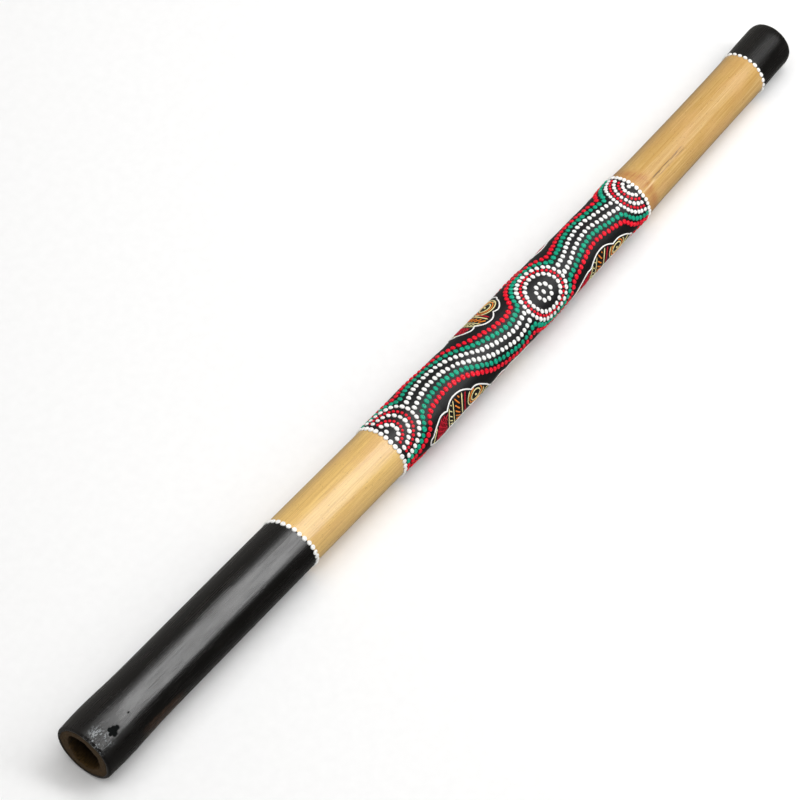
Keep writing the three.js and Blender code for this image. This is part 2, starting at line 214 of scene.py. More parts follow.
# Long shallow flutes, as (height, number round the culm, turn, length along the culm per radian).
FLUTES = [(0.13, 3, 0.8, 420), (0.09, 5, 2.1, -310), (0.045, 9, 1.0, 260), (0.022, 17, 0.3, -190),
          (0.012, 31, 2.0, 150)]


def scar_station(angle):
    peak = SCAR_PEAK * bump_at(arc_of(angle), SCAR_PEAK_ARC, SCAR_PEAK_SPREAD)
    return SCAR + peak - SCAR_SAG * np.cos(2 * angle)


def undulation(station, angle):
    """The culm is never quite round."""
    return sum(height * np.cos(number * angle + turn + station / twist)
               for height, number, turn, twist in FLUTES)


def branch_groove(station, angle):
    """The groove that a branch leaves, from the upper node towards the mouth: 0 to 1."""
    rise = smooth_step(station, GROOVE_START, GROOVE_FULL)
    fall = 1 - smooth_step(station, GROOVE_FADE, GROOVE_END)
    middle = BRANCH_ARC + GROOVE_SWAY * np.sin(station / GROOVE_SWAY_LENGTH)
    return rise * fall * bump_at(arc_of(angle), middle, GROOVE_SPREAD)


def scars(station, angle):
    upper = scar_station(angle)
    middle = MIDDLE_SCAR + MIDDLE_SCAR_SWAY * np.sin(3 * angle)
    relief = sum(height * bump_at(station, scar + past, spread)
                 for scar, terms in ((upper, UPPER_SCAR_RELIEF), (middle, MIDDLE_SCAR_RELIEF))
                 for past, height, spread in terms)
    return relief - GROOVE_DEPTH * branch_groove(station, angle)


def mouth_lean(station, angle):
    """The last few centimetres lean a little to the far side and are a little slimmer."""
    share = smooth_step(station, MOUTH_LEAN_START, MOUTH_LEAN_END)
    return share * (MOUTH_LEAN * np.cos(angle + MOUTH_LEAN_TURN) - MOUTH_SLIMMING)


def skin(station, angle):
    """The radius of the bamboo's outer skin."""
    return (culm_radius(station) + undulation(station, angle) + scars(station, angle)
            + mouth_lean(station, angle))


def rounded_off(from_end, rounding):
    length, depth = rounding
    share = np.clip(1 - from_end / length, 0, 1)
    return depth * (1 - np.sqrt(1 - share ** 2))


def outside(station, angle):
    """The skin, drawn in where the sawn ends are rounded off."""
    return (skin(station, angle) - rounded_off(station, BELL_ROUNDING)
            - rounded_off(LENGTH - station, MOUTH_ROUNDING))


# How far the bore strays from round, as (height, number of waves, turn).
BELL_BORE_WAVES = [(1.2, 2, 0.9 + math.pi / 2), (0.8, 3, 2.2 + math.pi / 2), (0.35, 7, 0.6),
                   (0.28, 13, 0), (0.15, 29, 2)]
BELL_BORE_REACH = 150  # how far up the bore those go
REMNANT_SPREAD, REMNANT_RAGGED, BORE_RAGGED = 3.2, 0.2, 0.12


def bore(station, angle):
    """The hollow, more uneven at the hand-cut bell."""
    remnants = sum(height * bump_at(station, at, REMNANT_SPREAD) for at, height in WALL_REMNANTS)
    ragged = 0.5 * np.sin(5 * angle + 1) + 0.35 * np.sin(11 * angle + station / 9)
    near_bell = 1 - smooth_step(station, 0, BELL_BORE_REACH)
    cut = near_bell * waves(angle, BELL_BORE_WAVES)
    return bore_taper(station) - remnants * (1 + REMNANT_RAGGED * ragged) + cut + BORE_RAGGED * ragged


# ---- Making pieces ----

def make_piece(name, shape, faces, materials, replaced, slot, face_materials=None, masks=None):
    """A mesh that stands for the CAD nodes in replaced. Its shape is the stations, angles and radii of
    its corners, and a mask has a number for each corner."""
    mesh = bpy.data.meshes.new(name)
    mesh.from_pydata(place(*shape).reshape(-1, 3).tolist(), [], faces)
    grain = mesh.attributes.new("straight", "FLOAT_VECTOR", "POINT")
    grain.data.foreach_set("vector", straightened(*shape).reshape(-1).astype(np.float32))
    for mask, values in (masks or {}).items():
        layer = mesh.attributes.new(mask, "FLOAT", "POINT")
        layer.data.foreach_set("value", values.reshape(-1).astype(np.float32))
    for material in materials:
        mesh.materials.append(material)
    if face_materials is not None:
        mesh.polygons.foreach_set("material_index", np.asarray(face_materials, np.int32))
    mesh.polygons.foreach_set("use_smooth", np.ones(len(mesh.polygons), bool))
    mesh.update()
    piece = bpy.data.objects.new(name, mesh)
    bpy.context.scene.collection.objects.link(piece)
    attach(piece, "root")
    if replaced:
        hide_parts(*replaced)


def ring_faces(rings, sides):
    """Quads between rings of corners that form one closed loop of rings."""
    ring, side = np.meshgrid(np.arange(rings), np.arange(sides), indexing="ij")
    next_ring, next_side = (ring + 1) % rings, (side + 1) % sides
    corners = [ring * sides + side, ring * sides + next_side,
               next_ring * sides + next_side, next_ring * sides + side]
    return np.stack(corners, -1).reshape(-1, 4)


SIDES = 192
ANGLES = round_turn(SIDES)


def stations_between(spans):
    """Stations along a list of (from, to, step)."""
    runs = [np.arange(low, high, step) for low, high, step in spans]
    return np.append(np.concatenate(runs), spans[-1][1])


BELL_FACE_RELIEF, MOUTH_FACE_RELIEF = 0.6, 0.3
FACE_FALL = 0.5  # how far a face falls away into the bore, as a share of its relief


def face_relief(angle, depth):
    """A sawn face is a little uneven; depth runs from 0 at the bore to 1 at the skin."""
    saw_marks = 0.18 * np.sin(7 * angle + 3 * depth) + 0.12 * np.sin(19 * angle - 5 * depth)
    return saw_marks + FACE_FALL * (1 - depth) ** 3


def culm_rings():
    """Each ring is (stations, radii, part), where part 0 is skin, 1 is sawn end and 2 is bore."""
    outer = stations_between([(0, 3, 0.4), (3, 60, 3), (60, 320, 8), (320, 472, 2.4), (472, 907, 6),
                              (907, 990, 1.2), (990, 1144, 3), (1144, 1188, 4), (1188, LENGTH, 0.5)])
    inner = stations_between([(0, 60, 4), (60, 522, 12), (522, 550, 2), (550, 896, 12), (896, 924, 2),
                              (924, LENGTH, 12)])[::-1]
    rings = [(np.full(SIDES, station), outside(station, ANGLES), 0) for station in outer]
    for depth in np.linspace(1, 0, 8)[1:-1]:
        radius = bore(LENGTH, ANGLES) * (1 - depth) + outside(LENGTH, ANGLES) * depth
        rings.append((LENGTH - MOUTH_FACE_RELIEF * face_relief(ANGLES, depth), radius, 1))
    rings += [(np.full(SIDES, station), bore(station, ANGLES), 2) for station in inner]
    for depth in np.linspace(0, 1, 14)[1:-1]:
        radius = bore(0, ANGLES) * (1 - depth) + outside(0, ANGLES) * depth
        rings.append((BELL_FACE_RELIEF * face_relief(ANGLES, depth) * (1 - depth ** 4), radius, 1))
    return rings


SCAR_STAINS = [(-6, 10, 1), (2, 5, 0.7)]  # distance past the scar, spread, strength
SCAR_LINE = 1.3
SAWN_EDGE = 0.86  # where a sawn face starts to darken, as a share of the culm's radius
# Painted shade inside the tube: the bore's wood darkens to near black over this many millimetres in from the
# bell's face.
BORE_SHADE_REACH = 15  # how far in the bore is black


def make_culm(skin_material, wood_material):
    rings = culm_rings()
    station = np.array([ring[0] for ring in rings])
    radius = np.array([ring[1] for ring in rings])
    part = np.array([ring[2] for ring in rings])
    upper = scar_station(ANGLES)[None, :]
    stain = sum(strength * bump_at(station, upper + past, spread) for past, spread, strength in SCAR_STAINS)
    from_edge = radius / outside(station, ANGLES) - SAWN_EDGE
    masks = {
        "scar": stain * (station > BAND_UPPER_RING - 8),
        "scar_line": bump_at(station, upper, SCAR_LINE),
        "edge": np.clip(from_edge / (1 - SAWN_EDGE), 0, 1),
        # The depth mask is painted shade: 0 on the skin and sawn faces, rising to 1 inside the bore.
        "depth": np.clip(station / BORE_SHADE_REACH, 0, 1) * (part == 2)[:, None],
    }
    parts = np.repeat(np.minimum(part, 1), SIDES)
    make_piece("bamboo_culm_skin", (station, ANGLES, radius), ring_faces(len(rings), SIDES),
               [skin_material, wood_material], CULM_NODES, "bamboo", parts, masks)


# ---- Coats of lacquer ----

# The hand-set rings aren't square to the culm.
BELL_RING_SLANT, BELL_RING_TURN, BELL_RING_WAVE = 3.3, 0.16, 0.3
MOUTH_RING_SLANT, MOUTH_RING_SHIFT = 1.4, -1.2


def bell_edge(angle):
    """Where the bell's coat and its ring of dots end."""
    slant = BELL_RING_SLANT * np.sin(arc_of(angle, BELL_RING_TURN) / PAINT_SCALE)
    return BELL_RING + slant + BELL_RING_WAVE * np.sin(9 * angle)


def mouth_edge(angle):
    return MOUTH_RING + MOUTH_RING_SLANT * np.cos(arc_of(angle) / PAINT_SCALE) + MOUTH_RING_SHIFT


# Where the lacquer is knocked off near the bell, as (station, arc, half length, half width).
CHIPS = [(26, 4.5, 5.0, 3.6), (31, 5.2, 2.4, 2.3), (24.5, 8.2, 3.0, 2.2), (23.5, 2.0, 2.6, 2.2),
         (20.8, 5.4, 2.0, 1.8), (51, 3.0, 1.2, 0.9)]


def bell_dents(station, angle):
    """How deep the chips are: 0 to 1."""
    arc = arc_of(angle)
    dents = np.zeros(np.broadcast(station, angle).shape)
    for at, across, long, wide in CHIPS:
        away = np.hypot((station - at) / long, (arc - across) / wide)
        dents = np.maximum(dents, 1 - smooth_step(away, 0.8, 1.0))
    return dents


COAT_EDGE_WIDTH, COAT_EDGE_SHARE = 1.2, 0.15  # the share of the full thickness at the very edge
CHIP_DEPTH = 0.4
COAT_LIFT = 0.02  # of a coat's underside
EDGE_ROWS, INNER_STEP = 12, 5  # the underside has every row near its edges, and one in so many between


def make_coat(name, station, radius, material, node, slot, dents=0.0):
    """A skin of lacquer over rings of (station, radius), thin along both edges."""
    d_station, d_radius = np.gradient(station, axis=0), np.gradient(radius, axis=0)
    step = np.hypot(d_station, d_radius)
    along = np.cumsum(step, axis=0) - step[:1]
    from_edge = np.clip(np.minimum(along, along[-1] - along) / COAT_EDGE_WIDTH, 0, 1)
    share = COAT_EDGE_SHARE + (1 - COAT_EDGE_SHARE) * np.sqrt(from_edge)
    height = COAT_THICKNESS * share - CHIP_DEPTH * dents

    def lifted(rows, by):
        return (station[rows] - by * (d_radius / step)[rows],
                radius[rows] + by * (d_station / step)[rows])

    outer = lifted(slice(None), height)
    count = len(station)
    inner_rows = np.unique(np.r_[0:EDGE_ROWS, EDGE_ROWS:count:INNER_STEP, count - EDGE_ROWS:count])
    inner = lifted(inner_rows[::-1], COAT_LIFT)
    stations, radii = np.vstack([outer[0], inner[0]]), np.vstack([outer[1], inner[1]])
    make_piece(name, (stations, ANGLES, radii), ring_faces(len(stations), SIDES), [material], [node], slot)


ROUND_STEPS = np.array([0, 0.05, 0.13, 0.27, 0.46, 0.7, 1])  # shares of an end's rounding
FACE_LAPS = np.array([1.5, 0.9, 0.4])  # how far the bell's lacquer laps over its face, and in between
FACE_LAP_WAVES = [(0.25, 5, 0), (0.15, 13, 0)]
MOUTH_LAP_SHARE = 0.6
BAND_OVERLAP, BAND_EDGE_WAVE = 0.8, 0.3  # of the ground under the rings of dots that border it
BAND_ROWS = 220


def make_coats(lacquer, ground):
    on_face = FACE_LAPS[:, None] * (1 + waves(ANGLES, FACE_LAP_WAVES))
    spans = [(3.4, 66, 0.8), (66, 312, 3), (312, BELL_RING, 1)]
    station = np.append(BELL_ROUNDING[0] * ROUND_STEPS, stations_between(spans))[:, None]
    station = station + (bell_edge(ANGLES) - BELL_RING) * (station / BELL_RING) ** 3
    radius = outside(station, ANGLES)
    station = np.vstack([0 * on_face, station])
    radius = np.vstack([radius[0] - on_face, radius])
    make_coat("bell_lacquer", station, radius, lacquer, "bell_black_coat", "black_lacquer",
              bell_dents(station, ANGLES))

    rounding = LENGTH - MOUTH_ROUNDING[0] * ROUND_STEPS[::-1]
    station = np.append(stations_between([(MOUTH_RING, 1188, 1.5)]), rounding)[:, None]
    share = (LENGTH - station) / (LENGTH - MOUTH_RING)
    station = station + (mouth_edge(ANGLES) - MOUTH_RING) * share ** 3
    radius = outside(station, ANGLES)
    station = np.vstack([station, LENGTH + 0 * on_face])
    radius = np.vstack([radius, radius[-1] - MOUTH_LAP_SHARE * on_face[::-1]])
    make_coat("mouth_lacquer", station, radius, lacquer, "mouth_black_coat", "black_lacquer")

    low = BAND_LOWER_RING - BAND_OVERLAP + BAND_EDGE_WAVE * np.sin(6 * ANGLES)
    high = BAND_UPPER_RING + BAND_OVERLAP + BAND_EDGE_WAVE * np.sin(5 * ANGLES)
    station = low + np.linspace(0, 1, BAND_ROWS)[:, None] * (high - low)
    make_coat("band_ground", station, outside(station, ANGLES), ground, "band_ground_coat",
              "ground_lacquer")


# ---- Dots of thick paint ----

DOT_SIDES = 16
# The profile of a dot: distance from its middle and height, as shares of its radius and height. The
# stick that sets it leaves a dimple, and the foot is sunk in the coat.
DOT_PROFILE = [(0.12, 0.66), (0.24, 0.85), (0.38, 0.97), (0.54, 1.0), (0.70, 0.94), (0.84, 0.76),
               (0.94, 0.48), (1.0, 0.08), (1.0, -0.2)]
DOT_DIMPLE = 0.52


def dot_faces(count):
    """Faces of count dots: a fan at the dimple, bands down the profile, and a flat foot."""
    corners = len(DOT_PROFILE) * DOT_SIDES
    last = corners - DOT_SIDES
    sides = [(side, (side + 1) % DOT_SIDES) for side in range(DOT_SIDES)]
    faces = [(corners, a, b) for a, b in sides]
    faces += ring_faces(len(DOT_PROFILE), DOT_SIDES)[:-DOT_SIDES, [0, 3, 2, 1]].tolist()
    faces += [(corners + 1, last + b, last + a) for a, b in sides]
    return [[corner + dot * (corners + 2) for corner in face] for dot in range(count) for face in faces]


# How unlike each other dots are, as shares of their size or height.
DOT_SIZE_SPREAD, DOT_HEIGHT_SPREAD, DOT_WANDER = 0.05, 0.07, 0.035
DOT_OVAL, DOT_CORNERS = 0.035, 0.025
DOT_FOOT = DOT_PROFILE[-1][1]


def make_dots(node, middles, dot, turn, paint, name="dots"):
    """A dot at each (arc, station) in middles, no two quite alike. A piece of another name than dots
    adds to its CAD node and doesn't stand for it."""
    middles = np.array(middles, float)
    count = len(middles)
    jitter = np.clip(rng.normal(0, 1, (count, 8)), -2, 2)
    around = round_turn(DOT_SIDES)
    shares = np.array(DOT_PROFILE)
    radius = dot["size"] / 2 * (1 + DOT_SIZE_SPREAD * jitter[:, :1])
    lobes = (1 + DOT_OVAL * jitter[:, 1:2] * np.cos(2 * around + 3 * jitter[:, 2:3])
             + DOT_CORNERS * jitter[:, 3:4] * np.cos(3 * around + 5 * jitter[:, 2:3]))
    reach = (radius * lobes)[:, None, :] * shares[None, :, :1]
    height = dot["height"] * (1 + DOT_HEIGHT_SPREAD * jitter[:, 4])
    heights = height[:, None, None] * np.broadcast_to(shares[None, :, 1:], reach.shape)
    across = (reach * np.cos(around)).reshape(count, -1)
    along = (reach * np.sin(around) * dot.get("stretch", 1)).reshape(count, -1)
    heights = heights.reshape(count, -1)
    middle = np.zeros((count, 1))
    across, along = (np.hstack([values, middle, middle]) for values in (across, along))
    heights = np.hstack([heights, DOT_DIMPLE * height[:, None], DOT_FOOT * height[:, None]])
    wander = DOT_WANDER * dot["size"] * jitter[:, 5:7]
    arc = middles[:, :1] + wander[:, :1] + across
    station = middles[:, 1:] + wander[:, 1:] + along
    angle = FRONT_TURN + turn + arc / PAINT_SCALE
    base = skin(station, angle) + COAT_THICKNESS
    masks = {"tone": np.repeat(jitter[:, 7:], across.shape[1], 1)}
    material, slot = paint
    make_piece(f"{node}_{name}", (station, angle, base + heights), dot_faces(count), [material],
               [node] if name == "dots" else [], slot, masks=masks)


def spaced(path, pitch, closed=False):
    """Points a whole number of near-pitch steps apart along a dense (arc, station) path."""
    path = np.array(path)
    if closed:
        path = np.vstack([path, path[:1]])
    reach = reach_along(path)
    steps = max(1, round(reach[-1] / pitch))
    marks = np.linspace(0, reach[-1], steps + 1)
    if closed:
        marks = marks[:-1]
    return np.stack([np.interp(marks, reach, path[:, 0]), np.interp(marks, reach, path[:, 1])], -1)


# ---- The design's paths ----

def half_chord(station, centre, radius):
    away = np.abs(station - centre)
    return np.where(away < radius, np.sqrt(np.maximum(radius ** 2 - away ** 2, 0)), radius - away)


def eased_max(a, b):
    return (a + b + np.hypot(a - b, CORNER_EASING)) / 2


def row_arc(row, side, station):
    """How far a row lies from the front line, passing round the medallion and both eyes."""
    furthest = side * stream_arc(station) + row["offset"]
    for (at, arc, stretch), rim in ((LOWER_EYE, "lower"), (MEDALLION, "medallion"), (UPPER_EYE, "upper")):
        furthest = eased_max(furthest, side * arc + stretch * half_chord(station, at, row[rim]))
    return side * furthest


def row_path(row, side, start, end):
    station = np.linspace(start, end, 500)
    return np.stack([row_arc(row, side, station), station], -1)


def circle_points(centre, radius, angle):
    at, arc, stretch = centre
    return np.stack([arc + stretch * radius * np.cos(angle), at + radius * np.sin(angle)], -1)


def circle_path(centre, radius):
    return circle_points(centre, radius, round_turn(120))


def half_ring_path(centre, radius, direction):
    start = math.asin(ARC_END_GAP / radius)
    return circle_points(centre, radius, direction * np.linspace(start, math.pi - start, 120))


def row_lines():
    """The rows of a painted face, each as (name, middles of the dots, dot, colour)."""
    plain = {"offset": WHITE_ROW["offset"], "medallion": 0, "lower": 0, "upper": 0}
    clear = WHITE_ROW["medallion"] + ARC_END_GAP
    low_start = LOWER_EYE[0] + WHITE_ROW["lower"] + ARC_END_GAP
    high_end = UPPER_EYE[0] - WHITE_ROW["upper"] - ARC_END_GAP
    rows = [("green_row", GREEN_ROW, STREAM_START, STREAM_END, "green", COLOURED_DOT),
            ("red_row", RED_ROW, STREAM_START, STREAM_END, "red", COLOURED_DOT),
            ("lower_white_row", plain, low_start, MEDALLION[0] - clear, "white", BIG_DOT),
            ("upper_white_row", plain, MEDALLION[0] + clear, high_end, "white", BIG_DOT)]
    for name, row, start, end, colour, dot in rows:
        for side_name, side in (("left", -1), ("right", 1)):
            yield f"{name}_{side_name}", spaced(row_path(row, side, start, end), dot["pitch"]), dot, colour


HALF_RINGS = [("lower", LOWER_EYE, LOWER_ARCS, 1, BIG_DOT),
              ("upper", UPPER_EYE, UPPER_ARCS, -1, DENSE_DOT)]
EYE_DOT = (-2.5, 3.8)  # where a dot lies inside the innermost half ring, as arc and station


def circle_lines(rings):
    """The circles and half rings of a painted face, as row_lines gives its rows."""
    for name, radius, colour in rings:
        dot = SMALL_DOT if colour == "red" else BIG_DOT
        middles = spaced(circle_path(MEDALLION, radius), dot["pitch"], closed=True)
        if name == "centre":
            middles = np.vstack([middles, [[MEDALLION[1], MEDALLION[0]]]])
        yield f"medallion_{name}_ring", middles, dot, colour
    for end, eye, arcs, direction, white_dot in HALF_RINGS:
        for i, (radius, colour) in enumerate(arcs):
            dot = SMALL_DOT if colour == "red" else white_dot
            middles = spaced(half_ring_path(eye, radius, direction), dot["pitch"])
            if i == 0:
                middles = np.vstack([middles, [(eye[1] + EYE_DOT[0], eye[0] + direction * EYE_DOT[1])]])
            yield f"{end}_arc_{i + 1}", middles, dot, colour


def make_lines(face, turn, lines, paints):
    for name, middles, dot, colour in lines:
        make_dots(f"{face}_{name}", middles, dot, turn, paints[colour])


FINE_STEPS = 4000


def make_dot_rings(paints):
    """The rings of dots round the culm."""
    rings = [("bell_dot_ring", bell_edge, RING_DOT), ("mouth_dot_ring", mouth_edge, FLAT_RING_DOT),
             ("band_lower_dot_ring", lambda angle: BAND_LOWER_RING + 0 * angle, RING_DOT),
             ("band_upper_dot_ring", lambda angle: BAND_UPPER_RING + 0 * angle, NARROW_RING_DOT)]
    for node, edge, dot in rings:
        angle = round_turn(FINE_STEPS)
        path = np.stack([(angle - FRONT_TURN) * PAINT_SCALE, edge(angle)], -1)
        around = 2 * math.pi * culm_radius(float(edge(0.0)))
        marks = np.round(np.linspace(0, len(angle), round(around / dot["pitch"]), endpoint=False))
        make_dots(node, path[marks.astype(int)], dot, 0, paints["white"])


# ---- Strokes of paint ----

STROKE_CORNERS = 7
STROKE_FULLNESS = 0.7  # 1 for a round back, less for a flatter one
STROKE_SINK = 0.08


def stroke_mesh(path, width, height, closed, turn):
    """The shape and faces of one raised stroke along an (arc, station) path, with round ends."""
    path = np.array(path, float)
    if closed:
        tangent = np.roll(path, -1, 0) - np.roll(path, 1, 0)
        swell = np.ones(len(path))
    else:
        tangent = np.gradient(path, axis=0)
        reach = reach_along(path)
        from_end = np.clip(np.minimum(reach, reach[-1] - reach) / (width / 2), 0.02, 1)
        swell = np.sqrt(1 - (1 - from_end) ** 2)
    tangent /= np.hypot(*tangent.T)[:, None]
    normal = np.stack([-tangent[:, 1], tangent[:, 0]], -1)
    sweep = np.linspace(0, math.pi, STROKE_CORNERS)
    across = (width / 2) * np.cos(sweep)[None, :] * swell[:, None]
    rise = height * np.sin(sweep)[None, :] ** STROKE_FULLNESS * swell[:, None] - STROKE_SINK
    arc = path[:, :1] + normal[:, :1] * across
    station = path[:, 1:] + normal[:, 1:] * across
    angle = FRONT_TURN + turn + arc / PAINT_SCALE
    radius = skin(station, angle) + COAT_THICKNESS + rise
    faces = ring_faces(len(path), STROKE_CORNERS).tolist()
    if not closed:
        ends = [list(range(STROKE_CORNERS))[::-1], list(range(arc.size - STROKE_CORNERS, arc.size))]
        faces = faces[:-STROKE_CORNERS] + ends
    return np.stack([station, angle, radius]).reshape(3, -1), faces


def make_strokes(name, strokes, turn, paint, replaced):
    """One piece of several strokes, each (path, width, height, closed)."""
    shapes, faces, start = [], [], 0
    for stroke in strokes:
        shape, stroke_faces = stroke_mesh(*stroke, turn)
        shapes.append(shape)
        faces += [[corner + start for corner in face] for face in stroke_faces]
        start += shape.shape[1]
    material, slot = paint
    make_piece(name, np.hstack(shapes), faces, [material], replaced, slot, masks={"tone": np.zeros(start)})


# ---- Side figures: lobed leaves filled with bars, a lattice and an eye ----

OUTLINE_WIDTH, OUTLINE_HEIGHT = 1.7, 0.75


def figure_shape(count):
    """The scalloped outline as (along, across) shares, from the mouth's tip round and back."""
    angle = round_turn(count)
    notch = 1 - np.abs(np.cos(FIGURE_LOBES * angle / 2))
    lobe = 1 - LOBE_DEPTH * notch ** LOBE_SHARPNESS
    sine = np.sin(angle)
    return np.cos(angle), np.sign(sine) * np.abs(sine) ** FIGURE_FULLNESS * lobe


def on_figure(figure, along, across):
    at, half_length, half_width = figure
    station = at + half_length * along
    return np.stack([stream_arc(station) + math.pi / 2 * PAINT_SCALE + half_width * across, station], -1)


def figure_width(t):
    """The half width of the shape, as a share, at t from -1 to 1 along it."""
    along, across = figure_shape(2000)
    half = across >= 0
    order = np.argsort(along[half])
    return np.interp(t, along[half][order], across[half][order])


def inside_figure(figure, t, v):
    """A point inside a figure: v runs across it from -1 to 1, and lines across it bow to the bell."""
    return on_figure(figure, t - BAR_BOW * (1 - v ** 2) - BAR_SLANT * v, v * figure_width(t))


# What fills a figure, from the bell's end to the mouth's, as (kind, colour, place or span, width). A
# bar is one line across the figure, hatching is slanted lines, and a lattice is hatching both ways.
BAR_BOW, BAR_SLANT = 0.10, 0.05
FILL_REACH = 0.84
FILLS = [
    ("bar", "cream", -0.78, 1.4),
    ("lattice", "dark_red", (-0.72, -0.38), 1.15),
    ("bar", "cream", -0.32, 1.2), ("hatching", "cream", (-0.28, -0.20), 1.2),
    ("bar", "cream", -0.15, 1.2),
    ("hatching", "orange", (-0.09, 0.06), 1.6),
    ("bar", "cream", 0.13, 1.6), ("bar", "dark_red", 0.22, 1.7),
    ("bar", "cream", 0.86, 1.4),
]
FILL_HEIGHT = 0.5
LATTICE_PITCH = 6
LATTICE_SLANT = 1.1
EYE_AT, EYE_SHARE = 0.56, 0.15  # along the figure, and across it
EYE_RINGS = [(6.6, "cream", 1.5), (9.4, "orange", 1.5), (12.2, "cream", 1.4)]  # radius, colour, width


def slanted_paths(figure, span, direction):
    """Lines slanted across a figure between two places along it."""
    _, half_length, half_width = figure
    low, high = span
    rise = LATTICE_SLANT * (high - low) * half_length / half_width
    step = LATTICE_PITCH / half_width
    paths = []
    for start in np.arange(-1 - rise, 1 + rise, step):
        t = np.linspace(low, high, 12)
        v = start + direction * rise * (t - low) / (high - low)
        if direction < 0:
            v = v + rise
        inside = np.abs(v) < FILL_REACH
        if inside.sum() > 3:
            paths.append(inside_figure(figure, t[inside], v[inside]))
    return paths


EYE_STRETCH = 1.1
EYE_REACH = 0.86  # the share of the figure's width that the rings keep to
EYE_DOT_SIZE = {"size": 2.8, "height": 0.9}


def eye_rings(figure, eye):
    """The rings round a figure's eye, open where they would leave the figure."""
    around = round_turn(36)
    for radius, colour, width in EYE_RINGS:
        ring = eye + radius * np.stack([np.cos(around), EYE_STRETCH * np.sin(around)], -1)
        t = (ring[:, 1] - figure[0]) / figure[1]
        middle = on_figure(figure, t, 0.0)[:, 0]
        inside = np.abs(ring[:, 0] - middle) < EYE_REACH * figure[2] * figure_width(t)
        if inside.all():
            yield colour, (ring, width, FILL_HEIGHT, True)
            continue
        order = np.roll(np.arange(len(ring)), -int(np.argmin(inside)))
        runs = np.split(order, np.flatnonzero(np.diff(inside[order].astype(int))) + 1)
        for run in runs:
            if inside[run[0]] and len(run) > 3:
                yield colour, (ring[run], width, FILL_HEIGHT, False)


def fill_strokes(figure):
    """The strokes of each colour that fill a figure, and where its eye is."""
    strokes = {"dark_red": [], "orange": [], "cream": []}
    for kind, colour, where, width in FILLS:
        if kind == "bar":
            v = np.linspace(-FILL_REACH, FILL_REACH, 16)
            paths = [inside_figure(figure, where + 0 * v, v)]
        else:
            directions = (-1, 1) if kind == "lattice" else (1,)
            paths = [path for direction in directions for path in slanted_paths(figure, where, direction)]
        strokes[colour] += [(path, width, FILL_HEIGHT, False) for path in paths]
    eye = inside_figure(figure, np.array(EYE_AT), np.array(-EYE_SHARE))
    for colour, ring in eye_rings(figure, eye):
        strokes[colour].append(ring)
    return strokes, eye


def make_figures(paints):
    for face, turn, _ in FACES:
        for i, figure in enumerate(FIGURES):
            node = f"{face}_side_figure_{i + 1}"
            outline = on_figure(figure, *figure_shape(160))
            make_strokes(node + "_outline", [(outline, OUTLINE_WIDTH, OUTLINE_HEIGHT, True)], turn,
                         paints["white"], [node])
            strokes, eye = fill_strokes(figure)
            for colour, lines in strokes.items():
                make_strokes(f"{node}_{colour}", lines, turn, paints[colour], [])
            make_dots(node, [eye], EYE_DOT_SIZE, turn, paints["cream"], "eye")


# ---- The mouthpiece ----

WAX_LIP, WAX_DEPTH, WAX_HOLE, WAX_BRIM = 2.3, 34.0, 14.5, 23.3
LIP_START, LIP_FULLNESS = -0.15, 0.75  # half turns round the lip, from level with its outer side
LIP_WAVE = 0.12
WAX_GAP = 0.15  # between the wax and the culm
WAX_FLARE = (4.2, 12)  # how much the hole widens at its inner end, and over what length


def wax_dents(station, angle):
    """What the fingers left."""
    return (0.22 * np.sin(3 * angle + station / 5) + 0.16 * np.sin(8 * angle + 1)
            + 0.1 * np.sin(15 * angle - station / 3))


def make_wax(material):
    """Beeswax pressed into the mouth end by hand, with a soft round lip."""
    middle, half = (WAX_BRIM + WAX_HOLE) / 2, (WAX_BRIM - WAX_HOLE) / 2
    widening, over = WAX_FLARE
    inmost = LENGTH - WAX_DEPTH
    rings = [(station, bore(station, ANGLES) - WAX_GAP) for station in np.linspace(inmost, LENGTH - 1, 12)]
    for turn in math.pi * np.linspace(LIP_START, 1, 26):
        station = LENGTH + WAX_GAP + WAX_LIP * max(math.sin(turn), 0) ** LIP_FULLNESS
        rings.append((station, np.full(SIDES, min(middle + half * math.cos(turn), WAX_BRIM))))
    for station in np.linspace(LENGTH - 1.5, inmost, 14):
        flare = widening * smooth_step(LENGTH - station, WAX_DEPTH - over, WAX_DEPTH)
        rings.append((station, np.full(SIDES, WAX_HOLE + flare)))
    station = np.array([np.full(SIDES, ring[0]) for ring in rings])
    shaped = np.array([ring[1] for ring in rings])
    radius = shaped + np.where(shaped < middle, wax_dents(station, ANGLES), -0.2)
    lip_wave = LIP_WAVE * np.sin(6 * ANGLES) * (shaped < WAX_BRIM - 1)
    station = station + np.where(station > LENGTH, lip_wave, 0)
    make_piece("wax_mouthpiece_lining", (station, ANGLES, radius), ring_faces(len(rings), SIDES),
               [material], ["wax_mouthpiece"], "beeswax")


# ---- Materials ----

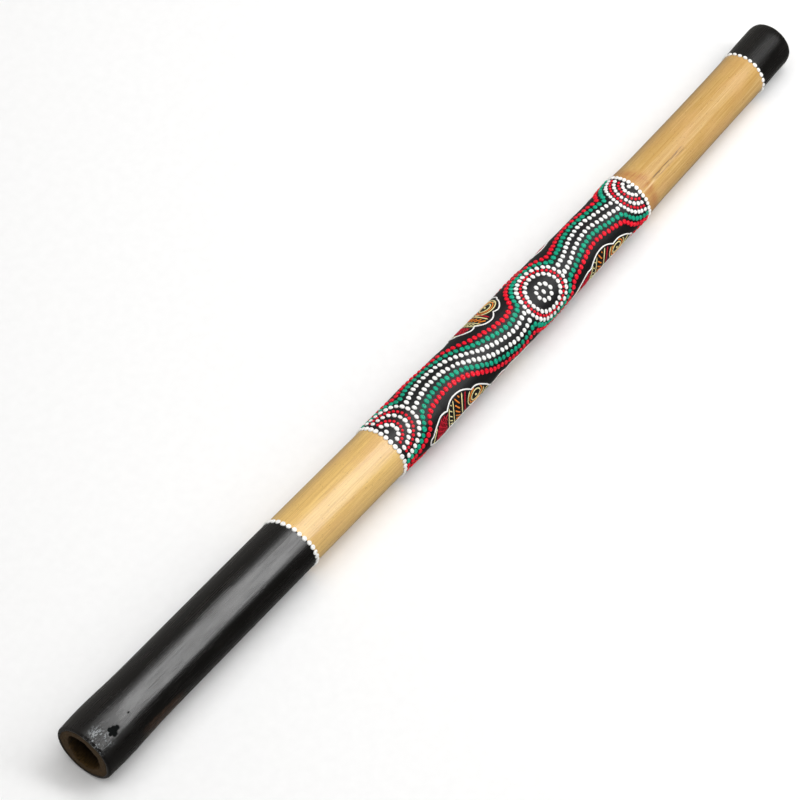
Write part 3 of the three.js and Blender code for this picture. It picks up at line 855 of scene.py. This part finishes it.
class Recipe:
    """The nodes of a material or a world, made round its shader. Values may be numbers, colours or
    sockets."""

    def __init__(self, data, shader="Principled BSDF", **constants):
        data.use_nodes = True
        self.data, self.tree = data, data.node_tree
        self.shader = self.tree.nodes[shader]
        for socket, value in constants.items():
            self.set(socket.replace("_", " "), value)

    def set(self, socket, value):
        self.plug(self.shader.inputs[socket], value)

    def plug(self, socket, value):
        if isinstance(value, bpy.types.NodeSocket):
            self.tree.links.new(value, socket)
        else:
            socket.default_value = value

    def node(self, kind, inputs, **settings):
        node = self.tree.nodes.new("ShaderNode" + kind)
        for key, value in settings.items():
            setattr(node, key, value)
        for key, value in inputs.items():
            self.plug(node.inputs[key], value)
        return node

    def mask(self, name):
        return self.node("Attribute", {}, attribute_name=name).outputs["Fac"]

    def grain(self, along, across):
        """Millimetres on the straightened culm, scaled along and across the grain."""
        place_on_culm = self.node("Attribute", {}, attribute_name="straight").outputs["Vector"]
        scale = (along, across, across)
        return self.node("VectorMath", {0: place_on_culm, 1: scale}, operation="MULTIPLY").outputs["Vector"]

    def noise(self, vector, scale, detail, roughness):
        inputs = {"Vector": vector, "Scale": scale, "Detail": detail, "Roughness": roughness}
        return self.node("TexNoise", inputs).outputs["Fac"]

    def figured(self, along, across, detail, roughness):
        """Noise with a number of spots to each millimetre along and across the grain."""
        return self.noise(self.grain(along, across), 1.0, detail, roughness)

    def ramp(self, factor, low, high, least=0.0, most=1.0):
        """The least below low and the most above high."""
        inputs = {"Value": factor, "From Min": low, "From Max": high, "To Min": least, "To Max": most}
        return self.node("MapRange", inputs, clamp=True).outputs["Result"]

    def math(self, operation, a, b=0.0, c=0.0):
        return self.node("Math", {0: a, 1: b, 2: c}, operation=operation).outputs[0]

    def mix(self, factor, a, b):
        return self.node("Mix", {0: factor, 6: a, 7: b}, data_type="RGBA").outputs[2]

    def base(self, factor, a, b):
        """Starts the colour with a blend of two."""
        self.colour = self.mix(factor, rgb(*a), rgb(*b))

    def lay(self, colour, *factors):
        """Lays a colour over those laid so far, as strongly as the product of the factors."""
        self.colour = self.mix(self.times(*factors), self.colour, rgb(*colour))

    def station(self):
        """Millimetres from the bell's face."""
        return self.node("SeparateXYZ", {0: self.grain(1, 1)}).outputs["X"]

    def arc(self):
        """Millimetres round the culm from the front line."""
        split = self.node("SeparateXYZ", {0: self.grain(1, 1)})
        sideways = self.math("MULTIPLY", split.outputs["Y"], -1.0)
        turned = self.math("SUBTRACT", self.math("ARCTAN2", sideways, split.outputs["Z"]), FRONT_TURN)
        return self.math("MULTIPLY", self.math("WRAP", turned, math.pi, -math.pi), float(PAINT_SCALE))

    def times(self, *factors):
        product = factors[0]
        for factor in factors[1:]:
            product = self.math("MULTIPLY", product, factor)
        return product

    def within(self, value, low, high, soft):
        """1 between low and high, falling to 0 over soft outside them."""
        return self.times(self.ramp(value, low - soft, low), self.ramp(value, high + soft, high))

    def chips(self, station, arc, ragged):
        """1 inside the chips, whose edges are ragged."""
        nearest = 9.0
        for at, across, long, wide in CHIPS:
            x = self.math("DIVIDE", self.math("SUBTRACT", station, float(at)), float(long))
            y = self.math("DIVIDE", self.math("SUBTRACT", arc, float(across)), float(wide))
            away = self.math("SQRT", self.math("ADD", self.times(x, x), self.times(y, y)))
            nearest = self.math("MINIMUM", away, nearest)
        return self.ramp(self.math("ADD", nearest, self.math("MULTIPLY", ragged, 0.35)), 1.2, 1.1)

    def finish(self, *reliefs):
        """Sets the colour, and the bumps of reliefs, each (height, strength, distance), lowest first."""
        self.set("Base Color", self.colour)
        under = {}
        for height, strength, distance in reliefs:
            bump = self.node("Bump", {"Height": height, "Strength": strength, "Distance": distance, **under})
            under = {"Normal": bump.outputs["Normal"]}
        self.set("Normal", under["Normal"])
        return self.data


def rgb(red, green, blue):
    """An sRGB colour of 0 to 255 as linear RGBA."""
    shares = (red / 255, green / 255, blue / 255)
    return (*(c / 12.92 if c <= 0.04 else ((c + 0.055) / 1.055) ** 2.4 for c in shares), 1.0)


# Stains by the upper node, as (from, to, softness) in station or arc.
GROOVE_STAIN, GROOVE_LEFT, GROOVE_RIGHT = (938.0, 989.0, 8.0), (3.6, 5.0, 0.8), (7.0, 8.0, 0.8)
PALE_STRIPE, PALE_STRIPE_ARC = (911.0, 934.0, 5.0), (7.2, 8.4, 0.8)


def varnished_bamboo():
    made = Recipe(bpy.data.materials.new("varnished bamboo"), Roughness=0.45, Coat_Weight=0.8,
                  Coat_Roughness=0.16, Coat_IOR=1.45)
    station, arc = made.station(), made.arc()
    fibres = made.figured(0.012, 2.2, 5, 0.62)
    streaks = made.figured(0.006, 0.42, 4, 0.55)
    pale_streaks = made.figured(0.011, 0.95, 3, 0.5)
    clouds = made.figured(0.018, 0.05, 3, 0.55)
    specks = made.figured(0.22, 1.1, 2, 0.5)
    hairs = made.figured(0.03, 4.2, 2, 0.5)
    pores = made.figured(0.6, 2.4, 2, 0.6)
    to_mouth = made.ramp(station, 650.0, 1000.0)
    worn = made.math("MULTIPLY_ADD", to_mouth, 0.45, 0.55)
    # The bamboo darkens towards the mouth: partly its own tone, partly painted shade for the light that
    # falls off towards the mouth end.
    made.base(to_mouth, (234, 196, 120), (204, 165, 95))
    made.lay((186, 138, 66), made.ramp(fibres, 0.40, 0.64), 0.46)
    made.lay((188, 142, 70), made.ramp(streaks, 0.48, 0.64), worn, 0.65)
    made.lay((242, 212, 154), made.ramp(pale_streaks, 0.55, 0.72), worn, 0.5)
    made.lay((216, 170, 112), made.ramp(clouds, 0.48, 0.72), 0.5)
    made.lay((158, 110, 52), made.ramp(hairs, 0.58, 0.70), 0.5)
    made.lay((170, 122, 60), made.ramp(pores, 0.56, 0.70), made.ramp(clouds, 0.30, 0.60), worn, 0.4)
    made.lay((134, 86, 38), made.ramp(specks, 0.66, 0.74), 0.6)
    made.lay((186, 126, 72), made.mask("scar"), made.ramp(pale_streaks, 0.30, 0.62), 0.85)
    made.lay((156, 104, 58), made.mask("scar_line"), made.ramp(specks, 0.45, 0.62), 0.35)
    broken = made.ramp(made.figured(0.09, 0.9, 3, 0.6), 0.38, 0.56)
    right_side = made.times(made.within(arc, *GROOVE_RIGHT), 0.7)
    sides = made.math("MAXIMUM", made.within(arc, *GROOVE_LEFT), right_side)
    made.lay((112, 84, 66), made.within(station, *GROOVE_STAIN), broken, sides, 0.75)
    made.lay((238, 208, 156), made.within(station, *PALE_STRIPE), made.within(arc, *PALE_STRIPE_ARC), 0.55)
    return made.finish((fibres, 0.2, 0.0003))


def raw_bamboo():
    made = Recipe(bpy.data.materials.new("raw bamboo wood"), Roughness=0.85)
    bundles = made.figured(0.15, 1.5, 3, 0.6)
    bands = made.figured(0.05, 0.22, 3, 0.5)
    made.base(made.ramp(bundles, 0.40, 0.62), (38, 28, 12), (92, 70, 34))
    made.lay((82, 58, 30), made.ramp(bands, 0.4, 0.7), 0.5)
    # Painted shade: the bore goes near black away from the bell's face.
    made.lay((14, 10, 4), made.mask("depth"), 0.88)
    made.lay((20, 16, 10), made.mask("edge"), made.ramp(bundles, 0.75, 0.40), 0.8)
    return made.finish((bundles, 0.8, 0.0008))


# Wear on the lacquer, as (from, to, softness) in station or arc. The worn patch slants round the culm.
# The flakes are real flaking, but their pale grey is kept to the arc where the softbox's band of reflection
# falls, so it is partly painted highlight.
FLAKES, FLAKES_ARC = (2.0, 14.0, 9.0), (-6.0, 9.0, 7.0)
WORN_PATCH, WORN_PATCH_ARC, WORN_SLANT = (66.0, 104.0, 16.0), (26.0, 44.0, 4.0), -0.06
SCRATCHES, SCRATCH_ARCS = (185.0, 225.0, 7.0), [(-13.6, -13.2, 0.5), (-11.6, -11.2, 0.5)]
DULL_END, DULL_START = 62.0, 20.0


def black_lacquer():
    made = Recipe(bpy.data.materials.new("black lacquer"), IOR=1.62)
    station, arc = made.station(), made.arc()
    brushed = made.figured(0.006, 1.3, 4, 0.6)
    smears = made.figured(0.02, 0.09, 4, 0.6)
    grain = made.figured(0.35, 0.55, 4, 0.65)
    coarse = made.figured(0.10, 0.16, 3, 0.6)
    chips = made.chips(station, arc, grain)
    flaky = made.ramp(made.math("ADD", grain, made.times(coarse, 0.7)), 0.89, 0.95)
    flakes_and_highlight = made.times(made.within(station, *FLAKES), made.within(arc, *FLAKES_ARC), flaky)
    dulled = made.times(made.ramp(station, DULL_END, DULL_START), made.ramp(coarse, 0.2, 0.8))
    slant = made.math("ADD", arc, made.times(station, WORN_SLANT))
    worn = made.times(made.within(slant, *WORN_PATCH_ARC), made.within(station, *WORN_PATCH))
    lines = [made.within(arc, *span) for span in SCRATCH_ARCS]
    scratched = made.times(made.within(station, *SCRATCHES), made.math("MAXIMUM", *lines))
    made.base(made.ramp(smears, 0.35, 0.75), (9, 8, 7), (17, 15, 13))
    made.lay((78, 52, 32), worn, made.ramp(grain, 0.3, 0.6), 0.6)
    made.lay((90, 86, 78), made.ramp(made.figured(0.014, 2.6, 2, 0.5), 0.70, 0.76), 0.35)
    # Partly painted highlight: pale grey flakes, laid only where the softbox's reflection crosses the
    # flaking.
    made.lay((150, 154, 156), flakes_and_highlight, 0.9)
    made.lay((9, 12, 12), chips)
    rough = made.math("MULTIPLY_ADD", made.ramp(brushed, 0.25, 0.75), 0.14, 0.14)
    for patch, by in ((made.ramp(smears, 0.4, 0.7), 0.10), (dulled, 0.14), (flakes_and_highlight, 0.25), (chips, 0.3)):
        rough = made.math("MULTIPLY_ADD", patch, by, rough)
    made.set("Roughness", rough)
    made.set("Specular IOR Level", made.math("MULTIPLY_ADD", chips, -0.45, 0.5))
    return made.finish((brushed, 0.22, 0.0003), (scratched, 0.5, 0.0002), (flakes_and_highlight, 0.4, 0.0003))


def charcoal_ground():
    made = Recipe(bpy.data.materials.new("charcoal ground paint"), IOR=1.45)
    grit = made.figured(0.9, 0.9, 3, 0.6)
    brushed = made.figured(0.03, 0.8, 4, 0.6)
    made.base(made.ramp(brushed, 0.3, 0.7), (13, 13, 14), (25, 25, 27))
    made.set("Roughness", made.math("MULTIPLY_ADD", grit, 0.25, 0.3))
    return made.finish((brushed, 0.25, 0.0003), (grit, 0.35, 0.0002))


def thick_paint(name, dark, light, roughness):
    """Paint in raised dots and strokes: each dot has its own tone, and its skin dries a little uneven."""
    made = Recipe(bpy.data.materials.new(name), Roughness=roughness, IOR=1.46)
    wrinkle = made.figured(1.1, 1.1, 3, 0.6)
    tone = made.math("MULTIPLY_ADD", made.mask("tone"), 0.18, 0.5)
    blend = made.math("ADD", tone, made.math("MULTIPLY", made.math("SUBTRACT", wrinkle, 0.5), 0.8))
    made.base(made.ramp(blend, 0.0, 1.0), dark, light)
    return made.finish((wrinkle, 0.25, 0.0003))


def beeswax():
    made = Recipe(bpy.data.materials.new("dark beeswax"), Roughness=0.4, IOR=1.44, Subsurface_Weight=0.1)
    made.set("Subsurface Radius", (0.002, 0.001, 0.0005))
    made.set("Subsurface Scale", 0.5)
    kneaded = made.figured(0.18, 0.18, 4, 0.6)
    fine = made.figured(0.8, 0.8, 3, 0.6)
    made.base(made.ramp(kneaded, 0.3, 0.7), (74, 46, 18), (124, 84, 36))
    return made.finish((kneaded, 0.4, 0.001), (fine, 0.3, 0.0004))


def pale_floor():
    made = Recipe(bpy.data.materials.new("pale floor"), Roughness=0.9)
    cloth = made.noise(made.node("TexCoord", {}).outputs["Object"], 90.0, 3, 0.5)
    made.set("Base Color", made.mix(cloth, (0.88, 0.88, 0.88, 1), (0.93, 0.93, 0.93, 1)))
    return made.data


# ---- The stage ----

def view_back():
    """The direction from the object to the camera."""
    level = math.cos(CAMERA_ELEVATION)
    return Vector((math.sin(CAMERA_AZIMUTH) * level, -math.cos(CAMERA_AZIMUTH) * level,
                   math.sin(CAMERA_ELEVATION)))


def make_camera():
    camera = bpy.data.objects.new("camera", bpy.data.cameras.new("camera"))
    camera.data.lens = CAMERA_LENS
    camera.data.sensor_width = 36
    camera.data.clip_end = 30
    camera.location = CAMERA_AIM + CAMERA_DISTANCE * view_back()
    camera.rotation_euler = (-view_back()).to_track_quat("-Z", "Y").to_euler()
    bpy.context.scene.collection.objects.link(camera)
    bpy.context.scene.camera = camera


def make_floor():
    bpy.ops.mesh.primitive_grid_add(x_subdivisions=2, y_subdivisions=2, size=FLOOR_SIZE)
    floor = bpy.context.object
    floor.name = "floor"
    floor.data.materials.append(pale_floor())
    floor.visible_glossy = False


def add_light(name, centre, size, power):
    """A rectangular lamp that shines down unless it is turned."""
    light = bpy.data.lights.new(name, "AREA")
    light.shape = "RECTANGLE"
    light.size, light.size_y = size
    light.energy = power
    lamp = bpy.data.objects.new(name, light)
    lamp.location = centre
    bpy.context.scene.collection.objects.link(lamp)
    return lamp


# Panels of the softbox, as (across from, across to, along from, along to, radiance), in metres on a
# plane SOFTBOX_DISTANCE away: the main one, a dim shoulder, and a dim end over the mouth.
SOFTBOX_DISTANCE = 4.0
PANELS = [(-2.86, 1.85, -0.62, 1.15, 5.7), (1.85, 3.6, -0.62, 1.15, 1.2),
          (-1.2, 4.1, -1.75, -0.62, 1.6)]


def make_lights():
    """A broad softbox whose mirror image runs along the culm as a bright band, and a dim room."""
    towards_light, across = Vector(SOFTBOX_DIRECTION).normalized(), Vector(SOFTBOX_ACROSS).normalized()
    along = towards_light.cross(across)
    middle = SOFTBOX_AIM + SOFTBOX_DISTANCE * towards_light
    turned = Matrix((across, -along, towards_light)).transposed().to_euler()
    for i, (left, right, low, high, radiance) in enumerate(PANELS):
        width, length = right - left, high - low
        centre = middle + across * (left + right) / 2 + along * (low + high) / 2
        power = radiance * math.pi * width * length
        lamp = add_light(f"softbox_{i + 1}", centre, (width, length), power)
        lamp.rotation_euler = turned
    fill = add_light("fill", FILL_PLACE, FILL_SIZE, FILL_POWER)
    fill.visible_glossy = False
    make_room()


def make_room():
    """A dim surround, a little lighter on the +Y side."""
    made = Recipe(bpy.data.worlds.new("room"), "Background", Color=ROOM_COLOUR)
    direction = made.node("TexCoord", {}).outputs["Generated"]
    side = made.node("SeparateXYZ", {0: direction}).outputs["Y"]
    made.set("Strength", made.ramp(side, *ROOM_SIDES, *ROOM_STRENGTHS))
    bpy.context.scene.world = made.data


def make_stage():
    make_camera()
    make_floor()
    make_lights()
    bpy.context.scene.view_settings.view_transform = "Standard"


# ---- Assembly ----

# Each paint as (darkest tone, lightest tone, roughness, slot).
PAINTS = {
    "white": ((240, 240, 237), (254, 254, 252), 0.35, "white_paint"),
    "green": ((0, 148, 116), (2, 178, 142), 0.28, "green_paint"),
    "red": ((224, 0, 36), (252, 10, 46), 0.3, "red_paint"),
    "dark_red": ((176, 6, 34), (214, 20, 48), 0.35, "red_paint"),
    "orange": ((232, 116, 20), (250, 150, 44), 0.35, "red_paint"),
    "cream": ((236, 222, 150), (250, 240, 182), 0.4, "white_paint"),
}
paints = {}
for colour, (dark, light, roughness, slot) in PAINTS.items():
    paints[colour] = (thick_paint(colour.replace("_", " ") + " paint", dark, light, roughness), slot)
make_stage()
make_culm(varnished_bamboo(), raw_bamboo())
make_coats(black_lacquer(), charcoal_ground())
make_wax(beeswax())
make_dot_rings(paints)
for face, turn, _ in FACES:
    make_lines(face, turn, row_lines(), paints)
for face, turn, rings in FACES:
    make_lines(face, turn, circle_lines(rings), paints)
make_figures(paints)
